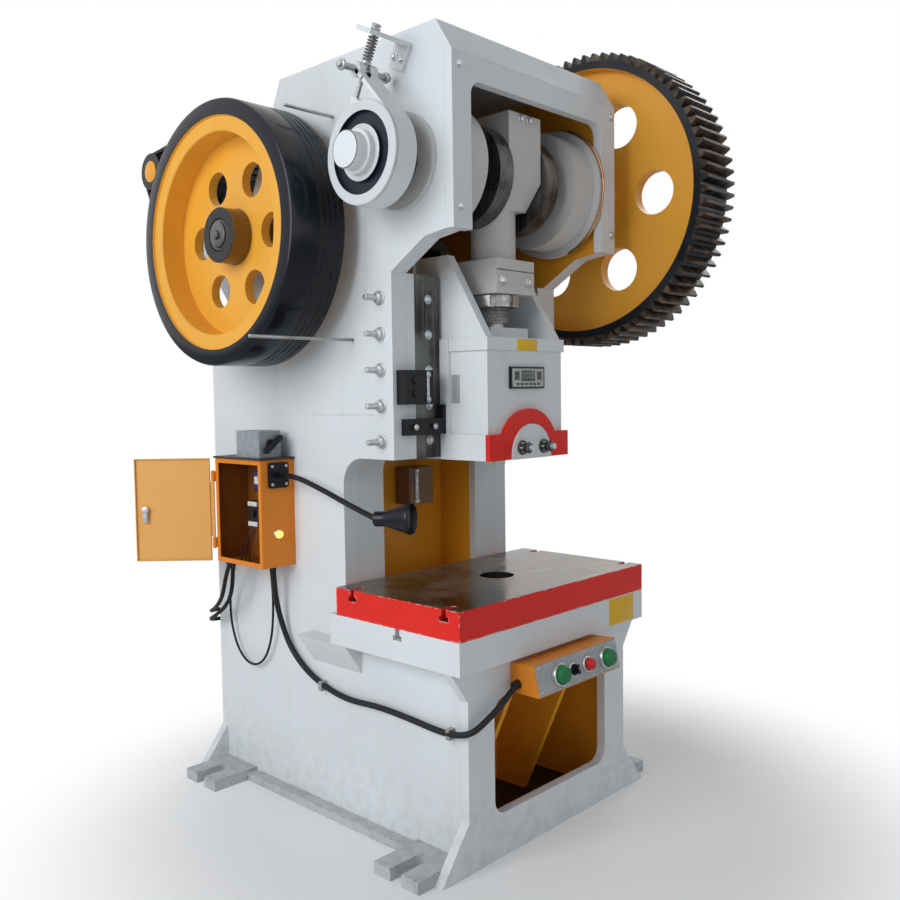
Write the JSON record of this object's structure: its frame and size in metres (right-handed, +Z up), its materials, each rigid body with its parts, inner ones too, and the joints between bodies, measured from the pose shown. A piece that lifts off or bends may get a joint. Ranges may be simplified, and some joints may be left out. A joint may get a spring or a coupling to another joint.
{
  "type": "mechanical stamping press",
  "caption": "Open-front C-frame power press with flywheel and spur-gear drive, crank, guided ram with die clamp, bolster table, control cabinet and palm-button box.",
  "frame": {"origin": "on the floor, straight below the ram's axis, in the press's centre plane", "axes": "+Z up along the ram's stroke, -Y towards the operator, +X to the operator's right, the gear's side"},
  "size_m": [1.444, 1.7069, 2.4799],
  "materials": {
    "frame_paint": "satin enamel, light grey",
    "orange_paint": "satin enamel, orange yellow",
    "red_paint": "gloss enamel, red",
    "black_paint": "satin enamel, black",
    "dark_steel": "oily machined steel",
    "bright_steel": "machined steel",
    "black_plastic": "moulded, matt",
    "grey_plastic": "moulded, matt",
    "green_plastic": "moulded, gloss",
    "red_plastic": "moulded, gloss",
    "amber_lens": "clear lens",
    "black_cable": "rubber sheath",
    "copper_pipe": "drawn pipe"
  },
  "bodies": {
    "frame": {"left_side_plate": "frame_paint", "right_side_plate": "frame_paint", "pedestal_front_plate": "frame_paint", "rear_plate": "frame_paint", "rear_slope_plate": "frame_paint", "bed_block": "frame_paint", "bolster_table": "red_paint", "leg_boxes": "frame_paint", "column_web": "orange_paint", "head_front_plate": "frame_paint", "top_plate": "frame_paint", "pedestal_gussets": "orange_paint", "floor_skids": "frame_paint", "side_lugs": "frame_paint", "crank_bearings": "frame_paint", "guide_cheeks": "frame_paint", "gib_strips": "dark_steel", "gib_bolts": "bright_steel", "drive_bearings": "frame_paint", "brake_band": "frame_paint", "brake_bracket": "frame_paint", "brake_spring_rod": "bright_steel", "guard_rods": "bright_steel", "motor_body": "black_paint", "drive_belts": "black_cable", "limit_switch_set": "black_plastic", "cabinet_box": "orange_paint", "isolator_box": "grey_plastic", "control_devices": "grey_plastic", "lamp_flange": "black_paint", "lamp_neck": "black_paint", "lamp_head": "black_paint", "pilot_lamp": "amber_lens", "control_box": "orange_paint", "control_panel": "grey_plastic", "lubricator": "grey_plastic", "oil_pipes": "copper_pipe", "control_cable": "black_cable", "cable_clips": "bright_steel", "cabinet_cables": "black_cable"},
    "gear": {"bull_gear": "black_paint"},
    "flywheel": {"flywheel": "black_paint", "drive_shaft": "bright_steel", "drive_pinion": "dark_steel"},
    "motor_rotor": {"motor_pulley": "black_paint"},
    "crank": {"crankshaft": "dark_steel", "brake_drum": "frame_paint"},
    "rod": {"connecting_rod": "frame_paint", "adjusting_screw": "bright_steel"},
    "ram": {"ram": "frame_paint", "ball_cap": "frame_paint", "die_clamp_cap": "red_paint", "shank_clamp": "frame_paint", "counter_display": "black_plastic"},
    "door": {"cabinet_door": "orange_paint"},
    "isolator": {"isolator_lever": "black_plastic"},
    "left_start": {"left_start_button": "green_plastic"},
    "right_start": {"right_start_button": "green_plastic"},
    "stop": {"stop_button": "red_plastic"},
    "selector": {"selector_knob": "black_plastic"}
  },
  "joints": [
    {"name": "gear_spin", "type": "hinge", "parent": "frame", "child": "gear", "pos_m": [0.5405, 0, 1.988], "axis": [1, 0, 0], "continuous": true},
    {"name": "flywheel_spin", "type": "hinge", "parent": "frame", "child": "flywheel", "pos_m": [0, 0.57937, 1.832], "axis": [1, 0, 0], "continuous": true},
    {"name": "motor_spin", "type": "hinge", "parent": "frame", "child": "motor_rotor", "pos_m": [-0.45, 1.095, 2.12], "axis": [1, 0, 0], "continuous": true},
    {"name": "crank_turn", "type": "hinge", "parent": "frame", "child": "crank", "pos_m": [0, 0, 1.988], "axis": [-1, 0, 0], "range_deg": [0, 180]},
    {"name": "rod_swing", "type": "hinge", "parent": "crank", "child": "rod", "pos_m": [0, 0, 2.048], "axis": [-1, 0, 0], "range_deg": [-180, 0]},
    {"name": "ram_slide", "type": "slide", "parent": "frame", "child": "ram", "axis": [0, 0, -1], "range_m": [0, 0.12]},
    {"name": "door_swing", "type": "hinge", "parent": "frame", "child": "door", "pos_m": [-0.521, 0.799, 0.959], "axis": [0, 0, 1], "range_deg": [-40, 136.5]},
    {"name": "isolator_turn", "type": "hinge", "parent": "frame", "child": "isolator", "pos_m": [-0.46, 0.558, 1.182], "axis": [0, -1, 0], "range_deg": [0, 90]},
    {"name": "left_start_press", "type": "slide", "parent": "frame", "child": "left_start", "axis": [0, 0.9767, -0.2147], "range_m": [0, 0.008], "stiffness_N_per_m": 400},
    {"name": "right_start_press", "type": "slide", "parent": "frame", "child": "right_start", "axis": [0, 0.9767, -0.2147], "range_m": [0, 0.008], "stiffness_N_per_m": 400},
    {"name": "stop_press", "type": "slide", "parent": "frame", "child": "stop", "axis": [0, 0.9767, -0.2147], "range_m": [0, 0.008], "stiffness_N_per_m": 400},
    {"name": "selector_turn", "type": "hinge", "parent": "frame", "child": "selector", "pos_m": [-0.036, -0.318, 0.5215], "axis": [0, -0.9767, 0.2147], "range_deg": [-45, 45]}
  ],
  "couplings": [
    {"joint": "flywheel_spin", "follows": "gear_spin", "ratio": -4},
    {"joint": "motor_spin", "follows": "gear_spin", "ratio": -27.929},
    {"joint": "rod_swing", "follows": "crank_turn", "ratio": -1},
    {"joint": "ram_slide", "follows": "crank_turn", "m_per_rad": 0.038197}
  ]
}
